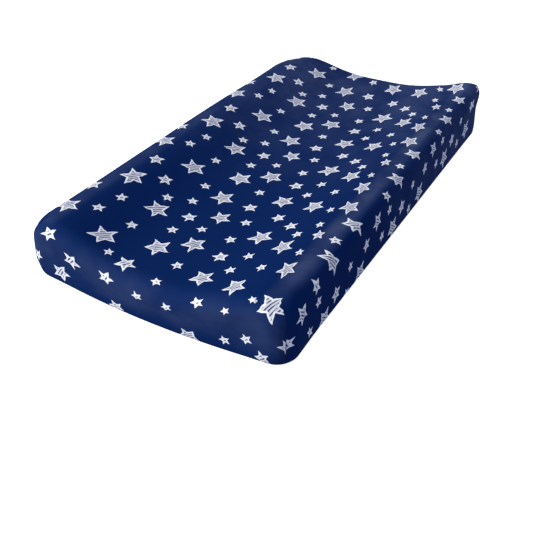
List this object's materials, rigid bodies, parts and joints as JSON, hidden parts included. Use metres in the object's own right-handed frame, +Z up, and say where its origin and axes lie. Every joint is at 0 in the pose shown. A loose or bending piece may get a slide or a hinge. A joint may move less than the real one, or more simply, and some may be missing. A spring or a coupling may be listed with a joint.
{
  "type": "contoured changing pad with fitted cover",
  "caption": "Oblong foam changing pad with raised side rims and a cradle along the middle, in a navy star-print fitted cover with an elasticated hem.",
  "frame": {"origin": "middle of the underside, on the surface the pad lies on", "axes": "+Y along the pad's length, +X across its width, +Z up out of the cradle"},
  "size_m": [0.4222, 0.813, 0.0922],
  "materials": {
    "foam": "open-cell polyurethane foam, matt",
    "liner_vinyl": "white quilted vinyl-coated fabric, satin",
    "liner_base_fabric": "grey non-slip coated fabric, matt",
    "piping_vinyl": "white vinyl-covered cord, satin",
    "cover_knit": "navy stretch knit printed with white sketched stars, matt",
    "elastic_rubber": "white woven elastic, matt",
    "label_satin": "white satin tape, blank",
    "seam_thread": "navy overlocked seam, matt",
    "zip_tape": "white woven polyester tape, matt",
    "zip_coil_plastic": "white nylon coil",
    "zip_metal": "nickel-plated, satin"
  },
  "bodies": {
    "pad": {"foam_core": "foam", "liner_top": "liner_vinyl", "liner_base": "liner_base_fabric", "liner_piping": "piping_vinyl", "zip_tape_left": "zip_tape", "zip_tape_right": "zip_tape", "zip_coil_left": "zip_coil_plastic", "zip_coil_right": "zip_coil_plastic", "zip_stop_top": "zip_metal", "zip_stop_bottom": "zip_metal"},
    "cover": {"cover_panel": "cover_knit", "cover_hem": "cover_knit", "elastic_band": "elastic_rubber", "care_label": "label_satin", "seam_near_left": "seam_thread", "seam_near_right": "seam_thread", "seam_far_right": "seam_thread", "seam_far_left": "seam_thread"},
    "zip_slider": {"zip_slider": "zip_metal"},
    "zip_pull_tab": {"zip_pull_tab": "zip_metal"}
  },
  "joints": [
    {"name": "cover_lift", "type": "slide", "parent": "pad", "child": "cover", "axis": [0, 0, 1], "range_m": [0, 0.16], "deforming": ["cover_hem", "elastic_band", "care_label"]},
    {"name": "zip_slide", "type": "slide", "parent": "pad", "child": "zip_slider", "axis": [0, 1, 0], "range_m": [0, 0.456]},
    {"name": "pull_tab_hinge", "type": "hinge", "parent": "zip_slider", "child": "zip_pull_tab", "pos_m": [-0.102, -0.2311, 0.00106], "axis": [-1, 0, 0], "range_deg": [0, 150]}
  ]
}
